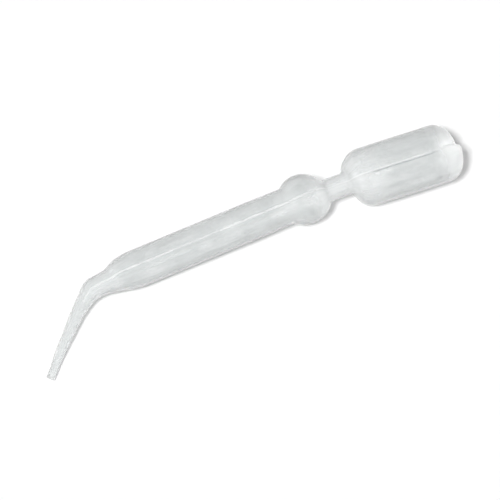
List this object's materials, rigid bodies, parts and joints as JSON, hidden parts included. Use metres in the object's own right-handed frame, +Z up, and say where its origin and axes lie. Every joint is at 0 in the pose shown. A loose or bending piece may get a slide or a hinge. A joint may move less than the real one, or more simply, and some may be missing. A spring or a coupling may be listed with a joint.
{
  "type": "plastic dropper pipette",
  "caption": "One-piece blow-moulded plastic dropper pipette with a squeeze bulb, a hollow ball, a round barrel and a fine tip bent to one side.",
  "frame": {"origin": "on the surface the pipette rests on, under the middle of its bounding box", "axes": "+Z up; +X along the barrel, from the tip towards the squeeze bulb; +Y away from the side to which the tip is bent"},
  "size_m": [0.1262, 0.026, 0.0166],
  "materials": {
    "polyethylene": "translucent, satin"
  },
  "bodies": {
    "root": {"pipette": "polyethylene"}
  },
  "joints": []
}
